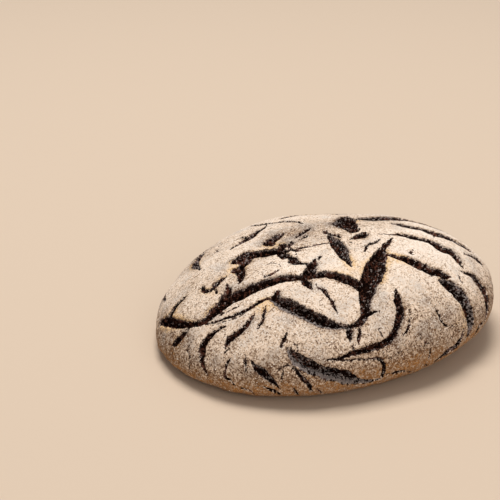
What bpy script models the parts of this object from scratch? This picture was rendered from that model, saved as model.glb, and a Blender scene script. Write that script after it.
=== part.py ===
"""A round rye loaf with a floured crust that has torn open in long curved fissures.

The loaf is one solid piece of bread.  It stands on a flat spot at z = 0, with +Z up, and its origin is
the middle of that flat spot.  Its dome is half an ellipsoid over a slightly oval, slightly leaning
middle plane, and below that plane the edge rolls in to the flat base.  The fissures are cut with
tapered round cutters that follow the surface.
"""
import math
from bisect import bisect_left

import bmesh
import bpy
from mathutils import Vector

MM = 0.001                              # every length below is in millimetres, the scene is in metres

# Body
RADIUS = 117.5                          # mean radius at the widest height
HEIGHT = 72.0                           # crown above the base
MIDDLE = 18.0                           # height of the widest line, at the loaf's centre
OVAL_SHARE = 0.06                       # the plan is an oval, longer along one diagonal
OVAL_BEARING = math.radians(33)
LOBE_SHARE = 0.028                      # and a little three-sided
LOBE_BEARING = math.radians(-5)
LEAN = math.radians(4.4)                # the widest line climbs towards one side
LEAN_BEARING = math.radians(-12)
BASE_SHARE = 0.80                       # flat base radius over full radius
BASE_SHIFT = 0.10                       # the base reaches less far under the side that climbs
SWELL_HEIGHT = 1.0                      # soft unevenness of the dome

# Mesh
BEARINGS = 72
DOME_RINGS = 15
ROLL_RINGS = 6
PROFILE_STEPS = 400
COURSE_STEP = 8.0                       # distance between the rings of a cutter
CUTTER_ROUNDING = 2                     # bevel resolution: eight sides

# Fissures, as (along, across, width) on the crust: the first two are measured over the surface from the
# crown, along +X and along +Y, and the third is the width of the opening there.
FISSURES = {
    "back_arc": ((27, 36, 4), (50, 45, 10), (62, 48, 10), (74, 49, 6), (88, 49, 3)),
    "shoulder_arc": ((50, 24, 3), (60, 22, 8), (70, 22, 7), (80, 22, 11), (92, 21, 11), (104, 15, 5)),
    "upper_right_arc": ((45, 0, 2), (61, 2, 6), (71, 3, 7), (82, -2, 9), (92, -8, 7), (98, -20, 2)),
    "right_gash": ((44, -31, 3), (58, -33, 8), (68, -37, 10), (80, -39, 9), (89, -39, 3)),
    "right_bow": ((82, -46, 3), (94, -51, 11), (106, -57, 11), (116, -65, 10), (121, -76, 3)),
    "rim_bow": ((97, -26, 2), (107, -24, 6), (117, -29, 8), (125, -38, 7), (134, -49, 3)),
    "crown_gash": ((45, -12, 3), (41, -26, 6), (39, -37, 11), (37, -50, 16), (33, -63, 16), (28, -76, 13),
                   (26, -90, 7), (19, -102, 4)),
    "long_fissure": ((-124, -38, 5), (-108, -51, 7), (-90, -66, 5), (-76, -67, 6), (-65, -61, 9),
                     (-46, -56, 9), (-28, -53, 6), (-5, -56, 7), (10, -61, 7), (23, -69, 9)),
    "front_fissure": ((-35, -72, 3), (-27, -81, 8), (-14, -90, 9), (-3, -99, 8), (14, -104, 3)),
    "left_hook": ((-55, -24, 4), (-53, -12, 8), (-46, -10, 8), (-38, -12, 8), (-25, -17, 3)),
    "left_diamond": ((-58, -28, 4), (-56, -32, 7), (-55, -42, 4), (-55, -49, 2)),
    "crown_leaf": ((5, -3, 4), (8, -16, 9), (11, -27, 11), (14, -37, 8), (18, -49, 3)),
    "crown_patch": ((19, 45, 11), (18, 32, 14), (17, 20, 14), (20, 6, 8)),
    "front_bow": ((51, -70, 2), (53, -85, 7), (53, -98, 6), (46, -112, 5), (28, -121, 4), (10, -124, 2)),
    "low_right": ((112, -80, 3), (110, -91, 5), (107, -98, 6), (104, -105, 3)),
    "low_front": ((-25, -115, 5), (-17, -125, 9), (-4, -134, 9), (9, -139, 9), (22, -143, 6), (38, -143, 3)),
    "left_bow": ((-68, -81, 2), (-78, -86, 5), (-86, -95, 5), (-86, -106, 2)),
    "left_low_dash": ((-52, -115, 2), (-47, -122, 6), (-42, -131, 4), (-39, -136, 1)),
    "left_dash": ((-49, -82, 2), (-59, -90, 5), (-66, -95, 4)),
    "back_bow": ((-36, 62, 2), (-17, 71, 7), (5, 74, 7), (22, 78, 9), (42, 75, 5), (54, 73, 2)),
    "back_rim": ((-66, 84, 2), (-48, 97, 6), (-32, 105, 8), (-12, 109, 6), (3, 112, 5), (12, 110, 2)),
    "back_low": ((-22, 129, 2), (-2, 136, 5), (20, 137, 4), (38, 134, 2)),
    "back_right": ((70, 86, 2), (84, 74, 7), (97, 62, 8), (108, 44, 6), (115, 24, 2)),
    "far_left": ((-89, -6, 2), (-97, 14, 7), (-95, 34, 7), (-85, 53, 5), (-78, 58, 2)),
    "far_left_rim": ((-119, -16, 2), (-124, 3, 5), (-121, 24, 4), (-115, 42, 2)),
}

CRUST_COLOUR = (0.78, 0.66, 0.52, 1.0)
CRUST_ROUGHNESS = 0.9


def plan_radius(bearing):
    """Radius of the widest line at a bearing."""
    oval = OVAL_SHARE * math.cos(2 * (bearing - OVAL_BEARING))
    lobe = LOBE_SHARE * math.cos(3 * (bearing - LOBE_BEARING))
    return RADIUS * (1 + oval + lobe)


def profile(turn, radius, middle, base_share):
    """Distance from the axis and height on one profile: turn 0 is the crown, 1 the widest line, 2 base."""
    angle = (turn % 1 if turn < 2 else 1) * math.pi / 2
    if turn < 1:
        return radius * math.sin(angle), (HEIGHT - MIDDLE) * math.cos(angle)
    return radius * (base_share + (1 - base_share) * math.cos(angle)), -middle * math.sin(angle)


def profile_lengths():
    """Length over the mean profile from the crown to each of its even steps."""
    lengths = [0.0]
    last = profile(0, RADIUS, MIDDLE, BASE_SHARE)
    for step in range(1, 2 * PROFILE_STEPS + 1):
        here = profile(step / PROFILE_STEPS, RADIUS, MIDDLE, BASE_SHARE)
        lengths.append(lengths[-1] + math.dist(last, here))
        last = here
    return lengths


LENGTHS = profile_lengths()


def turn_at(length):
    """Profile parameter at a length over the surface from the crown."""
    step = min(max(bisect_left(LENGTHS, length), 1), 2 * PROFILE_STEPS)
    share = (length - LENGTHS[step - 1]) / (LENGTHS[step] - LENGTHS[step - 1])
    return (step - 1 + share) / PROFILE_STEPS


def surface_point(bearing, turn):
    """Point of the crust at a bearing and a profile parameter, in millimetres."""
    radius = plan_radius(bearing)
    climb = math.tan(LEAN) * math.cos(bearing - LEAN_BEARING)
    middle = MIDDLE + radius * climb
    base_share = BASE_SHARE - BASE_SHIFT * math.cos(bearing - LEAN_BEARING)
    out, rise = profile(turn, radius, middle, base_share)
    x, y = out * math.cos(bearing), out * math.sin(bearing)
    if turn > 1:
        return Vector((x, y, middle + rise))
    swell = math.sin(x / 19 + 1) * math.sin(y / 23 + 2) + math.sin(x / 31 - y / 27)
    fade = math.cos(turn * math.pi / 2)
    return Vector((x, y, MIDDLE + out * climb + rise + SWELL_HEIGHT * swell * fade))


def crust_point(along, across):
    """Point of the crust at distances over the surface from the crown, in millimetres."""
    return surface_point(math.atan2(across, along), turn_at(math.hypot(along, across)))


def smooth_course(points):
    """Even, smooth run of (along, across, width) through the given points, with Catmull-Rom pieces."""
    knots = [Vector(point) for point in points]
    ends = [2 * knots[0] - knots[1]] + knots + [2 * knots[-1] - knots[-2]]
    course = []
    for before, start, end, after in zip(ends, ends[1:], ends[2:], ends[3:]):
        count = max(2, round((end - start).length / COURSE_STEP))
        for step in range(count):
            t = step / count
            course.append(0.5 * (2 * start + (end - before) * t
                                 + (2 * before - 5 * start + 4 * end - after) * t ** 2
                                 + (3 * start - before - 3 * end + after) * t ** 3))
    return course + [knots[-1]]


def new_object(name, mesh):
    """Links a mesh to the scene as a named object."""
    piece = bpy.data.objects.new(name, mesh)
    bpy.context.scene.collection.objects.link(piece)
    return piece


def crust_material():
    """Floured rye crust: pale, dry and dull."""
    material = bpy.data.materials.new("floured_rye_crust")
    material.use_nodes = True
    shader = material.node_tree.nodes["Principled BSDF"]
    shader.inputs["Base Color"].default_value = CRUST_COLOUR
    shader.inputs["Roughness"].default_value = CRUST_ROUGHNESS
    shader.inputs["Metallic"].default_value = 0.0
    return material


def loaf_body():
    """The whole loaf before its crust tears: rings of vertices from the crown to the flat base."""
    bm = bmesh.new()
    bearings = [2 * math.pi * index / BEARINGS for index in range(BEARINGS)]
    turns = [(index + 1) / DOME_RINGS for index in range(DOME_RINGS)]
    turns += [1 + (index + 1) / ROLL_RINGS for index in range(ROLL_RINGS)]
    crown = bm.verts.new(surface_point(0.0, 0.0) * MM)
    rings = [[bm.verts.new(surface_point(bearing, turn) * MM) for bearing in bearings] for turn in turns]
    for index in range(BEARINGS):
        after = (index + 1) % BEARINGS
        bm.faces.new((crown, rings[0][index], rings[0][after]))
        for upper, lower in zip(rings, rings[1:]):
            bm.faces.new((upper[index], lower[index], lower[after], upper[after]))
    bm.faces.new(reversed(rings[-1]))
    mesh = bpy.data.meshes.new("loaf")
    bm.to_mesh(mesh)
    bm.free()
    return new_object("loaf", mesh)


def fissure_cutter(name, points):
    """Tapered round cutter whose middle runs over the crust, so that it opens the stated width."""
    course = smooth_course(points)
    curve = bpy.data.curves.new(name, "CURVE")
    curve.dimensions = "3D"
    curve.bevel_depth = MM
    curve.bevel_resolution = CUTTER_ROUNDING
    curve.use_fill_caps = True
    spline = curve.splines.new("POLY")
    spline.points.add(len(course) - 1)
    for point, (along, across, width) in zip(spline.points, course):
        point.co = (*(crust_point(along, across) * MM), 1.0)
        point.radius = width / 2
    guide = new_object(name + "_course", curve)
    cutter = new_object(name + "_cutter", bpy.data.meshes.new_from_object(guide))
    bpy.data.objects.remove(guide)
    cutter.hide_render = True
    cutter.display_type = "WIRE"
    return cutter


def tear(loaf, cutter):
    """Cuts one fissure into the loaf."""
    cut = loaf.modifiers.new(cutter.name, "BOOLEAN")
    cut.operation = "DIFFERENCE"
    cut.solver = "EXACT"
    cut.object = cutter


def main():
    for old in list(bpy.data.objects):
        bpy.data.objects.remove(old)
    loaf = loaf_body()
    loaf.data.materials.append(crust_material())
    loaf.data.shade_smooth()
    loaf.data.set_sharp_from_angle(angle=math.radians(35))
    for name, points in FISSURES.items():
        tear(loaf, fissure_cutter(name, points))


main()
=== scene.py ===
"""Looks of a round rye loaf: floured crust torn open by fissures, dark crumb in them, a baked base.

The crust is modelled in its own flat map.  A place on it is (along, across): two distances in millimetres
measured over the surface from the crown, towards +X and towards +Y.  The fissures, the flour and the mesh
are all laid out in that map, and LoafForm lifts the map onto the loaf.
"""
import logging
import math
from dataclasses import dataclass, field
from enum import Enum

import bpy
import numpy as np
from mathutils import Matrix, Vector


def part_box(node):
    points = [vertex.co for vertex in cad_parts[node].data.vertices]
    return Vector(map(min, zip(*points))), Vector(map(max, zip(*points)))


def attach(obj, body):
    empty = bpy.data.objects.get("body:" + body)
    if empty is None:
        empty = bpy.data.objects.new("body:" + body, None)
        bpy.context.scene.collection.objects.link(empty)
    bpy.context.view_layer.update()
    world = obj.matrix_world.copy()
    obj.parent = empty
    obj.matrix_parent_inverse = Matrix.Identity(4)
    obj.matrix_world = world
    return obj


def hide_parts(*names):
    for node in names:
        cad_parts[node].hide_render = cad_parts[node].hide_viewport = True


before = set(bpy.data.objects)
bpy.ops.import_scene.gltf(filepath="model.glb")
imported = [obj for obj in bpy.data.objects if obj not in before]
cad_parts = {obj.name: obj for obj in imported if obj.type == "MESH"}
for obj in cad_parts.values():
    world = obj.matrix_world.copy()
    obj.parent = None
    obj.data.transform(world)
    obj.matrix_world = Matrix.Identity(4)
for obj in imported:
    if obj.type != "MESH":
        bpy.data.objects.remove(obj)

LOG = logging.getLogger("rye_loaf")
MM = 0.001                                   # the maps and sizes below are in millimetres
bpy.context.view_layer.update()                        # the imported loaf's box, before any piece is added
BODY = "root"
NODE = "loaf"


# ---------------------------------------------------------------------------------------------------
# Small helpers
# ---------------------------------------------------------------------------------------------------

def linear(hex_colour: str) -> tuple[float, float, float, float]:
    """Turns an sRGB hex colour into linear RGBA.

    Args:
        hex_colour: Six hex digits, with or without a leading hash sign.

    Returns:
        The linear red, green and blue values with alpha 1.
    """
    digits = hex_colour.lstrip("#")
    channels = [int(digits[start:start + 2], 16) / 255 for start in (0, 2, 4)]
    decoded = [c / 12.92 if c <= 0.04045 else ((c + 0.055) / 1.055) ** 2.4 for c in channels]
    return (*decoded, 1.0)


def add_node(tree: bpy.types.NodeTree, kind: str, inputs: dict | None = None, **settings) -> bpy.types.Node:
    """Adds one node to a shader or geometry tree, with its settings, values and links.

    Args:
        tree: The tree that gets the node.
        kind: Blender's identifier of the node type.
        inputs: Socket name or number to a value, or to the output socket that feeds it.
        settings: Attributes of the node itself.

    Returns:
        The new node.
    """
    node = tree.nodes.new(kind)
    for name, value in settings.items():
        setattr(node, name, value)
    for name, value in (inputs or {}).items():
        if isinstance(value, bpy.types.NodeSocket):
            tree.links.new(value, node.inputs[name])
        else:
            node.inputs[name].default_value = value
    return node


def smoothstep(low: float, high: float, values: np.ndarray) -> np.ndarray:
    """Rises smoothly from 0 at low to 1 at high."""
    share = np.clip((values - low) / (high - low), 0.0, 1.0)
    return share * share * (3 - 2 * share)


def bump_at(centre: float, spread: float, values: np.ndarray) -> np.ndarray:
    """Bell curve of height 1 around a centre."""
    return np.exp(-((values - centre) / spread) ** 2)


class Grain:
    """Smooth repeatable noise in space, made from random slopes on a cubic lattice."""

    CELLS = 256

    def __init__(self, seed: int) -> None:
        """Draws the lattice's slopes.

        Args:
            seed: Fixes the pattern.
        """
        rng = np.random.default_rng(seed)
        slopes = rng.normal(size=(self.CELLS, 3))
        self.slopes = slopes / np.linalg.norm(slopes, axis=1, keepdims=True)
        self.order = rng.permutation(self.CELLS)

    def __call__(self, points: np.ndarray, size: float, octaves: int = 1) -> np.ndarray:
        """Reads the noise.

        Args:
            points: Places, as rows of two or three coordinates.
            size: Width of one feature, in the coordinates' unit.
            octaves: Number of layers, each half as wide and half as strong as the last.

        Returns:
            One value for each place, mostly within -1 and 1.
        """
        if points.shape[-1] == 2:
            points = np.concatenate([points, np.zeros_like(points[..., :1])], axis=-1)
        total = np.zeros(points.shape[:-1])
        for octave in range(octaves):
            total += self._layer(points * (2 ** octave / size) + 17.3 * octave) / 2 ** octave
        return total * 1.6

    def _layer(self, places: np.ndarray) -> np.ndarray:
        """One octave of the noise at places in lattice units."""
        cell = np.floor(places).astype(np.int64)
        inner = places - cell
        ease = inner ** 3 * (inner * (inner * 6 - 15) + 10)
        total = np.zeros(places.shape[:-1])
        for corner in np.ndindex(2, 2, 2):
            offset = np.array(corner)
            index = self.order[(cell[..., 0] + offset[0]) % self.CELLS]
            index = self.order[(index + cell[..., 1] + offset[1]) % self.CELLS]
            index = self.order[(index + cell[..., 2] + offset[2]) % self.CELLS]
            weight = np.prod(np.where(offset, ease, 1 - ease), axis=-1)
            total += weight * np.sum(self.slopes[index] * (inner - offset), axis=-1)
        return total


# ---------------------------------------------------------------------------------------------------
# The form of the loaf
# ---------------------------------------------------------------------------------------------------

@dataclass
class LoafForm:
    """Form of the loaf before its crust tears: half an ellipsoid over a leaning oval, rolled in below.

    Attributes:
        low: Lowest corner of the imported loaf, in millimetres.
        high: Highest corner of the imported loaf, in millimetres.
        crown_share: Height of the crown over the height of the whole, whose lean lifts one shoulder above it.
        middle_share: Height of the widest line at the loaf's centre over the crown's height.
    """

    low: Vector
    high: Vector
    crown_share: float = 0.969
    middle_share: float = 0.25
    oval_share: float = 0.06
    oval_bearing: float = math.radians(33)
    lobe_share: float = 0.028
    lobe_bearing: float = math.radians(-5)
    lean: float = math.radians(4.4)
    lean_bearing: float = math.radians(-12)
    base_share: float = 0.80
    base_shift: float = 0.10
    swell_height: float = 1.0
    steps: int = 2000

    def __post_init__(self) -> None:
        """Works out the mean radius from the box, and the length over the mean profile."""
        bearings = np.linspace(0, 2 * np.pi, 721)
        reach = self._plan_share(bearings) * np.cos(bearings)
        self.radius = (self.high.x - self.low.x) / (reach.max() - reach.min())
        self.height = (self.high.z - self.low.z) * self.crown_share
        self.middle = self.height * self.middle_share
        self.turns = np.linspace(0, 2, 2 * self.steps + 1)
        out, rise = self._profile(self.turns, self.radius, self.middle, self.base_share)
        self.lengths = np.concatenate([[0.0], np.cumsum(np.hypot(np.diff(out), np.diff(rise)))])
        self.rim_length = float(self.lengths[self.steps])
        self.base_length = float(self.lengths[-1])

    def _plan_share(self, bearing: np.ndarray) -> np.ndarray:
        """Radius of the widest line over the mean radius."""
        oval = self.oval_share * np.cos(2 * (bearing - self.oval_bearing))
        return 1 + oval + self.lobe_share * np.cos(3 * (bearing - self.lobe_bearing))

    def _profile(self, turn: np.ndarray, radius: np.ndarray, middle: np.ndarray,
                 base_share: np.ndarray) -> tuple[np.ndarray, np.ndarray]:
        """Distance from the axis, and height over the widest line: turn 0 is the crown, 2 the base."""
        dome = np.minimum(turn, 1) * np.pi / 2
        roll = np.maximum(turn - 1, 0) * np.pi / 2
        out = np.where(turn < 1, np.sin(dome), base_share + (1 - base_share) * np.cos(roll))
        rise = np.where(turn < 1, (self.height - self.middle) * np.cos(dome), -middle * np.sin(roll))
        return radius * out, rise

    def points(self, places: np.ndarray) -> np.ndarray:
        """Lifts places of the crust's map onto the loaf.

        Args:
            places: Rows of (along, across).

        Returns:
            Rows of x, y and z, in millimetres.
        """
        along, across = places[..., 0], places[..., 1]
        bearing = np.arctan2(across, along)
        turn = np.interp(np.hypot(along, across), self.lengths, self.turns)
        radius = self.radius * self._plan_share(bearing)
        climb = math.tan(self.lean) * np.cos(bearing - self.lean_bearing)
        middle = self.middle + radius * climb
        base_share = self.base_share - self.base_shift * np.cos(bearing - self.lean_bearing)
        out, rise = self._profile(turn, radius, middle, base_share)
        x, y = out * np.cos(bearing), out * np.sin(bearing)
        swell = np.sin(x / 19 + 1) * np.sin(y / 23 + 2) + np.sin(x / 31 - y / 27)
        fade = np.cos(np.minimum(turn, 1) * np.pi / 2)
        dome = self.middle + out * climb + rise + self.swell_height * swell * fade
        return np.stack([x, y, np.where(turn < 1, dome, middle + rise)], axis=-1)

    def frames(self, places: np.ndarray) -> tuple[np.ndarray, np.ndarray, np.ndarray]:
        """Unit directions of the surface at places of the map.

        Args:
            places: Rows of (along, across).

        Returns:
            The directions that along and across take in space, and the outward normal.
        """
        step = 0.5
        east = self.points(places + [step, 0]) - self.points(places - [step, 0])
        north = self.points(places + [0, step]) - self.points(places - [0, step])
        normal = np.cross(east, north)
        return tuple(v / np.linalg.norm(v, axis=-1, keepdims=True) for v in (east, north, normal))


# ---------------------------------------------------------------------------------------------------
# The fissures
# ---------------------------------------------------------------------------------------------------

class Tear(Enum):
    """How a fissure opened, with its depth as a share of its width, and the most it can be in mm."""

    GASH = (0.85, 7.0)       # wide: the outer flank is drawn out into a slope that flour dust settles on
    SPLIT = (1.0, 4.0)       # narrow: two steep walls
    CREASE = (0.7, 1.0)      # the skin alone has parted

    @property
    def depth_share(self) -> float:
        """Depth over width."""
        return self.value[0]

    @property
    def most_depth(self) -> float:
        """Greatest depth, in millimetres."""
        return self.value[1]


@dataclass(frozen=True)
class Fissure:
    """One fissure: its course as (along, across, width of the opening), in millimetres on the map.

    Its left flank, seen along the course, is the one that flour dust lies on.
    """

    name: str
    tear: Tear
    course: tuple[tuple[float, float, float], ...]
    dusted: float = 0.4               # how much flour fell into it


GASH, SPLIT, CREASE = Tear.GASH, Tear.SPLIT, Tear.CREASE
FISSURES = (
    # Around the crown
    Fissure("crown_gash", GASH,
            ((46.5, -5, 1), (45, -12, 3), (43, -18, 4), (41, -26, 5), (40, -33, 9), (38, -43, 13),
             (36, -52, 15), (32, -63, 14.5), (28.5, -73, 12), (27, -84, 8.5), (26, -94, 6), (23, -100, 5.5),
             (14, -104.5, 3.5)), dusted=0.45),
    Fissure("crown_gash_nib", SPLIT, ((28, -94, 5), (32, -93, 3), (37, -91.5, 1))),
    Fissure("crown_leaf", GASH,
            ((4.5, 0, 3), (5.5, -8, 5), (8, -16, 9), (10, -23, 10.5), (12, -30, 10), (14, -37, 8),
             (18, -50, 2)), dusted=0.6),
    Fissure("crown_leaf_nib", SPLIT, ((6, -1, 3.6), (9, -4, 3.6), (12, -9, 2.4))),
    Fissure("crown_patch", GASH,
            ((19.5, 1, 3.4), (20, 6, 8.5), (19, 11, 12), (17.5, 17, 14.5), (16.5, 24, 16), (18, 33, 15),
             (19, 42, 11.5), (20, 49, 5.5), (21.5, 53, 1.5)), dusted=0.6),
    Fissure("crown_dash", SPLIT,
            ((28.5, 1.5, 1.8), (27, -2, 6.2), (25, -6.5, 7.9), (23, -10, 5.3), (19, -12.5, 1.8))),
    Fissure("crown_hook", SPLIT, ((38, -10.5, 1), (36.5, -15, 2.5), (33.5, -19, 3), (30.5, -22.5, 2))),
    Fissure("crown_hook_stem", SPLIT, ((30.5, -23, 2), (30, -27, 2), (29, -34, 0.8))),
    Fissure("crown_hair", CREASE, ((12, -14, 0.6), (22, -20.5, 0.8), (29, -24.5, 1))),
    Fissure("crown_chain_top", SPLIT, ((-31, -18, 1.4), (-28, -21, 4.9), (-25.5, -25, 6.3), (-24, -28, 2.8))),
    Fissure("crown_chain_middle", SPLIT, ((-23, -27, 2), (-21, -31, 4.5), (-20, -35, 4.5), (-18, -38, 2.5))),
    Fissure("crown_chain_low", SPLIT, ((-23, -34, 2.6), (-20, -37, 5.2), (-16, -40, 2.6), (-13, -42, 2.6))),
    Fissure("crown_chain_tick", CREASE, ((-29, -24, 0.8), (-27, -29, 1))),
    Fissure("centre_tick", SPLIT, ((-2.5, -31.5, 0.8), (-3.5, -35, 2), (-5, -39.5, 1))),
    Fissure("top_dash_left", SPLIT,
            ((-35.5, -2.5, 3), (-38.5, 4.5, 9.1), (-35, 11.5, 9.1), (-30, 17.5, 4.6))),
    Fissure("top_dash_long", SPLIT, ((-19, 1.5, 1.6), (-17, 6, 4), (-13, 12, 4), (-8, 18, 1.6))),
    Fissure("top_dash_short", SPLIT, ((-15.5, -3, 1.9), (-12, 1, 3.8))),
    Fissure("top_dash_right", SPLIT, ((1, 8, 1.6), (2, 4, 3.2), (2, 0, 1.6))),
    Fissure("top_hair", CREASE, ((-16, -18, 3), (-8, -16.5, 2.4), (3, -16.5, 1.6))),
    Fissure("top_hair_drop", CREASE, ((-18.5, -19, 0.8), (-18.5, -27, 0.8))),
    Fissure("hook_crumbs", SPLIT,
            ((-22.5, -4, 1.7), (-21.5, -8, 4.2), (-23, -12, 1.7), (-21, -17, 3.4), (-17, -21, 3.4))),
    Fissure("hook_crumbs_left", SPLIT, ((-29, -5, 4), (-27.5, -9, 7.9))),
    # Right shoulder
    Fissure("back_arc", GASH,
            ((27, 35.5, 5.2), (37, 39.5, 13.8), (48, 43.5, 15.4), (60, 46.5, 13.8), (74, 47.5, 8.6),
             (90, 46.5, 3.4))),
    Fissure("shoulder_arc", GASH,
            ((50, 24, 3), (58, 22, 7), (68, 21.5, 6), (78, 21, 11), (92, 20.5, 10), (105, 14, 4))),
    Fissure("shoulder_drop", SPLIT, ((78, 17, 2), (77, 11, 0.8))),
    Fissure("upper_right_arc", GASH,
            ((35, -1.5, 0.8), (46, -0.5, 1), (51, 1.5, 3.5), (61, 2, 6), (71, 2.5, 6.5), (77, 0, 8),
             (82, -3, 9.5), (88, -4.5, 8), (92.5, -8.5, 6.5), (95, -14, 4.5),
             (98.5, -20.5, 1.5)), dusted=0.2),
    Fissure("right_gash", GASH,
            ((44, -31, 3), (51, -32, 5), (58, -33, 7.5), (65, -36, 9.5), (73, -38.5, 10), (80, -38.5, 9),
             (85, -39.5, 6.5), (89, -39, 2)), dusted=0.25),
    Fissure("right_gash_nib", SPLIT, ((75, -42, 2.6), (76, -47, 0.6))),
    Fissure("right_bow", GASH,
            ((82, -46, 2), (86, -47, 8), (93, -50, 12), (100, -53, 12), (106, -57.5, 11), (111, -62, 10.5),
             (116, -66, 9.5), (119.5, -71, 6), (121, -76, 2)), dusted=0.8),
    Fissure("rim_bow", GASH,
            ((95, -26, 1), (101, -25.5, 3), (107, -24, 5.5), (112, -26.5, 7.5), (117, -29, 8.5),
             (122, -33, 7.5), (125.5, -38, 6.5), (130, -44, 5), (135, -50, 2)), dusted=0.3),
    Fissure("rim_thread", SPLIT, ((131, -52, 1.7), (129, -60, 2.5), (132, -67, 1.7))),
    Fissure("shoulder_thread", SPLIT, ((100, 1.5, 1.6), (106, 4, 3.1), (113, 5.5, 5.4), (118, 4, 1.6))),
    Fissure("stretch_hair_right", CREASE, ((95, -32, 0.8), (99, -39, 1))),
    Fissure("star_tick", SPLIT, ((61, -18, 1.4), (60, -23, 2.2), (61, -25, 1.1))),
    # The long fissure and what branches from it
    Fissure("long_fissure", GASH,
            ((25, -70, 9), (16, -64, 8), (9, -60.5, 7), (0, -57, 7), (-7, -56, 7), (-15, -56.5, 6),
             (-22, -55, 6)), dusted=0.35),
    Fissure("long_fissure_left", GASH,
            ((-123, -39, 5.4), (-116, -43, 7), (-108, -51, 7.6), (-99, -60, 5.9), (-90, -66, 4.3),
             (-81, -69.5, 4.9), (-76, -67, 7.6), (-70, -63.5, 9.7), (-62, -60, 9.2), (-53, -58, 10.3),
             (-44, -55.5, 10.3), (-36, -53.5, 8.6), (-29, -53, 7.6), (-22, -55, 6.5)), dusted=0.1),
    Fissure("long_fissure_spur", GASH,
            ((-63.5, -43.5, 1.6), (-63, -48, 3.2), (-63.5, -52, 5.6), (-66, -57, 8.1)), dusted=0.2),
    Fissure("long_fissure_flame", GASH, ((-7, -37.5, 1.4), (-9, -43, 5.4), (-11, -48, 7.7), (-12, -54, 9))),
    Fissure("front_fissure", GASH,
            ((15, -104.5, 3.5), (9, -103.5, 4), (3, -102, 5.5), (-2, -99.5, 7.5), (-7, -96, 9),
             (-12, -92.5, 9), (-17.5, -88, 8.5), (-22.5, -84, 9.5), (-27, -79, 9.5), (-32, -74, 7),
             (-36, -71.5, 3)), dusted=1.2),
    Fissure("front_fissure_spur", SPLIT, ((-31.5, -63.5, 1.4), (-32.5, -68, 3.6), (-33, -72, 4.5))),
    Fissure("front_thread", SPLIT,
            ((-79, -72.5, 1.5), (-72, -74.5, 2), (-63, -75.5, 2), (-54, -75, 2.5), (-47, -73, 3),
             (-41, -71, 2.5), (-36, -71, 2.5))),
    Fissure("fold_hair", CREASE, ((-76, -71, 1), (-66, -70, 1.4), (-52, -68.5, 1))),
    Fissure("fold_hair_low", CREASE, ((-74, -76.5, 0.8), (-62, -78, 1), (-52, -77, 0.8))),
    Fissure("lip_hair", CREASE, ((-39, -46.5, 2.1), (-34, -44.5, 2.5), (-30.5, -42, 1.7))),
    Fissure("plate_hair", CREASE, ((-41, -34, 0.6), (-36, -30.5, 0.7), (-31, -32.5, 0.7), (-29, -38, 0.7))),
    Fissure("centre_trail_top", SPLIT,
            ((-16, -58, 3.4), (-15, -61.5, 4.6), (-13, -65, 4.6), (-10.5, -69.5, 1.1))),
    Fissure("centre_trail", SPLIT,
            ((-8, -65, 0.8), (-6.5, -69, 1.5), (-3.5, -71, 2.6), (-1.5, -75, 2.6), (0.5, -79.5, 1.5),
             (2.5, -83.5, 2.2), (4, -88, 1.9), (5.5, -93, 0.8))),
    # Left hook and the left end
    Fissure("left_hook", GASH,
            ((-24, -18, 4.8), (-31, -14.5, 9), (-38, -12.5, 11.4), (-46, -10.5, 11.4), (-53, -12.5, 11.4),
             (-53, -19.5, 9), (-55.5, -25.5, 4.8)), dusted=0),
    Fissure("left_hook_nib", SPLIT, ((-60, -13, 9.4), (-54, -11.5, 18.7))),
    Fissure("left_diamond", GASH,
            ((-57.5, -25, 4.4), (-56, -29, 7.2), (-54.5, -35, 5.5), (-54.5, -41, 4.4),
             (-55, -47, 1.1)), dusted=0.1),
    Fissure("left_diamond_nib", SPLIT, ((-61, -26.5, 3.3), (-57, -28, 9))),
    Fissure("left_edge", GASH, ((-95, -34.5, 1.9), (-100, -37, 3.7), (-105, -40, 5.5), (-111, -46, 9.2))),
    Fissure("left_corner", SPLIT,
            ((-83, -34, 2.3), (-80, -40.5, 3.3), (-76, -43, 3.3), (-73, -41.5, 4.5), (-70, -37, 4.5),
             (-65, -33.5, 2.3))),
    Fissure("left_corner_tick", SPLIT, ((-71, -45, 1.8), (-70.5, -48.5, 2.2))),
    Fissure("left_wedge", SPLIT, ((-92, -68, 2.1), (-97, -70.5, 4.2), (-101, -71.5, 6.2), (-106, -72, 4.2))),
    Fissure("left_ripple", SPLIT,
            ((-89, -79.5, 0.6), (-93.5, -82, 0.8), (-95.5, -85.5, 0.9), (-95, -90, 0.9), (-98, -94, 0.9),
             (-99.5, -99, 0.7), (-99, -105, 0.6))),
    Fissure("left_bow", GASH,
            ((-66, -81.5, 1.1), (-72, -82, 2.6), (-77, -83.5, 4.2), (-81.5, -86.5, 5.2), (-84.5, -90.5, 5.2),
             (-86, -95, 4.7), (-86.5, -100, 3.2), (-86.5, -107, 1.6)), dusted=0.3),
    Fissure("left_dash", GASH,
            ((-46.5, -79.5, 1.1), (-50, -83, 2.8), (-53.5, -87.5, 3.3), (-58, -90, 3.9), (-62.5, -91.5, 5),
             (-65.5, -93.5, 4.4), (-68, -96.5, 1.7)), dusted=0.6),
    Fissure("left_dash_crumb", SPLIT, ((-69, -100, 1.3), (-65.5, -98.5, 1))),
    Fissure("left_tick_upper", SPLIT, ((-40, -77.5, 1), (-41, -81.5, 2.5), (-42.5, -85.5, 1.5))),
    Fissure("left_tick_lower", SPLIT, ((-42, -86.5, 1.5), (-43.5, -88.5, 2.5), (-46, -92, 1.2))),
    Fissure("left_zigzag", SPLIT,
            ((-65.5, -105, 0.7), (-69, -107.5, 1.8), (-71.5, -111.5, 1.6), (-73.5, -115.5, 1.8),
             (-71, -118, 1.8), (-69.5, -124, 0.9))),
    Fissure("left_zigzag_low", SPLIT,
            ((-66.5, -126, 0.7), (-64, -129.5, 1.8), (-61, -133, 1.8), (-61.5, -138, 0.7))),
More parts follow.
